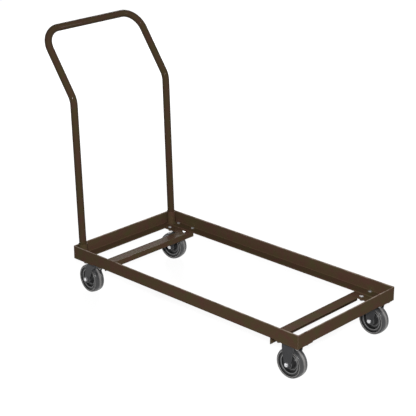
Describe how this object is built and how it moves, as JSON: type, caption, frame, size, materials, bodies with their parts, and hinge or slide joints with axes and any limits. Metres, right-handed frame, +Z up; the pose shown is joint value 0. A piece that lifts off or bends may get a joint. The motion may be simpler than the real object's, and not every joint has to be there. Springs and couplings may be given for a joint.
{
  "type": "folding chair cart",
  "caption": "Low angle-iron cart for stacked folding chairs, with a cranked tube push handle, fixed plate casters in front and swivel casters at the handle end.",
  "frame": {"origin": "on the floor under the middle of the whole cart, handle included", "axes": "+X along the deck towards the end away from the handle, +Y across it to the left of a person who pushes, +Z up"},
  "size_m": [1.1775, 0.4826, 0.9144],
  "materials": {
    "frame_paint": "semi-gloss powder coat",
    "caster_steel": "dark grey plating",
    "bright_zinc": "zinc plated",
    "ball_steel": "polished",
    "wheel_core": "moulded",
    "tyre": "grey rubber",
    "bush": "natural nylon"
  },
  "bodies": {
    "frame": {"side_rail_left": "frame_paint", "side_rail_right": "frame_paint", "end_rail_front": "frame_paint", "end_rail_rear": "frame_paint", "cross_member_front": "frame_paint", "cross_member_rear": "frame_paint", "handle_tube": "frame_paint", "caster_bolts": "bright_zinc", "caster_nuts": "bright_zinc", "handle_socket_left": "frame_paint", "handle_socket_right": "frame_paint", "front_left_pad": "frame_paint", "front_left_top_plate": "caster_steel", "front_left_fixed_fork": "caster_steel", "front_left_axle_sleeve": "bright_zinc", "front_left_axle_bolt": "bright_zinc", "front_left_axle_nut": "bright_zinc", "rear_left_pad": "frame_paint", "rear_left_top_plate": "caster_steel", "rear_left_kingpin": "bright_zinc", "rear_left_race_cup": "bright_zinc", "front_right_pad": "frame_paint", "front_right_top_plate": "caster_steel", "front_right_fixed_fork": "caster_steel", "front_right_axle_sleeve": "bright_zinc", "front_right_axle_bolt": "bright_zinc", "front_right_axle_nut": "bright_zinc", "rear_right_pad": "frame_paint", "rear_right_top_plate": "caster_steel", "rear_right_kingpin": "bright_zinc", "rear_right_race_cup": "bright_zinc"},
    "front_left_wheel": {"front_left_wheel_core": "wheel_core", "front_left_tyre": "tyre", "front_left_bearing_bush": "bush"},
    "rear_left_fork": {"rear_left_swivel_fork": "caster_steel", "rear_left_upper_balls": "ball_steel", "rear_left_lower_balls": "ball_steel", "rear_left_axle_sleeve": "bright_zinc", "rear_left_axle_bolt": "bright_zinc", "rear_left_axle_nut": "bright_zinc"},
    "rear_left_wheel": {"rear_left_wheel_core": "wheel_core", "rear_left_tyre": "tyre", "rear_left_bearing_bush": "bush"},
    "front_right_wheel": {"front_right_wheel_core": "wheel_core", "front_right_tyre": "tyre", "front_right_bearing_bush": "bush"},
    "rear_right_fork": {"rear_right_swivel_fork": "caster_steel", "rear_right_upper_balls": "ball_steel", "rear_right_lower_balls": "ball_steel", "rear_right_axle_sleeve": "bright_zinc", "rear_right_axle_bolt": "bright_zinc", "rear_right_axle_nut": "bright_zinc"},
    "rear_right_wheel": {"rear_right_wheel_core": "wheel_core", "rear_right_tyre": "tyre", "rear_right_bearing_bush": "bush"}
  },
  "joints": [
    {"name": "front_left_roll", "type": "hinge", "parent": "frame", "child": "front_left_wheel", "pos_m": [0.53835, 0.2065, 0.0508], "axis": [0, 1, 0], "continuous": true},
    {"name": "front_right_roll", "type": "hinge", "parent": "frame", "child": "front_right_wheel", "pos_m": [0.53835, -0.2065, 0.0508], "axis": [0, 1, 0], "continuous": true},
    {"name": "rear_left_swivel", "type": "hinge", "parent": "frame", "child": "rear_left_fork", "pos_m": [-0.34565, 0.2065, 0.12], "axis": [0, 0, 1], "continuous": true},
    {"name": "rear_left_roll", "type": "hinge", "parent": "rear_left_fork", "child": "rear_left_wheel", "pos_m": [-0.3813, 0.20149, 0.0508], "axis": [-0.1392, 0.9903, 0], "continuous": true},
    {"name": "rear_right_swivel", "type": "hinge", "parent": "frame", "child": "rear_right_fork", "pos_m": [-0.34565, -0.2065, 0.12], "axis": [0, 0, 1], "continuous": true},
    {"name": "rear_right_roll", "type": "hinge", "parent": "rear_right_fork", "child": "rear_right_wheel", "pos_m": [-0.38151, -0.20336, 0.0508], "axis": [0.0872, 0.9962, 0], "continuous": true}
  ]
}
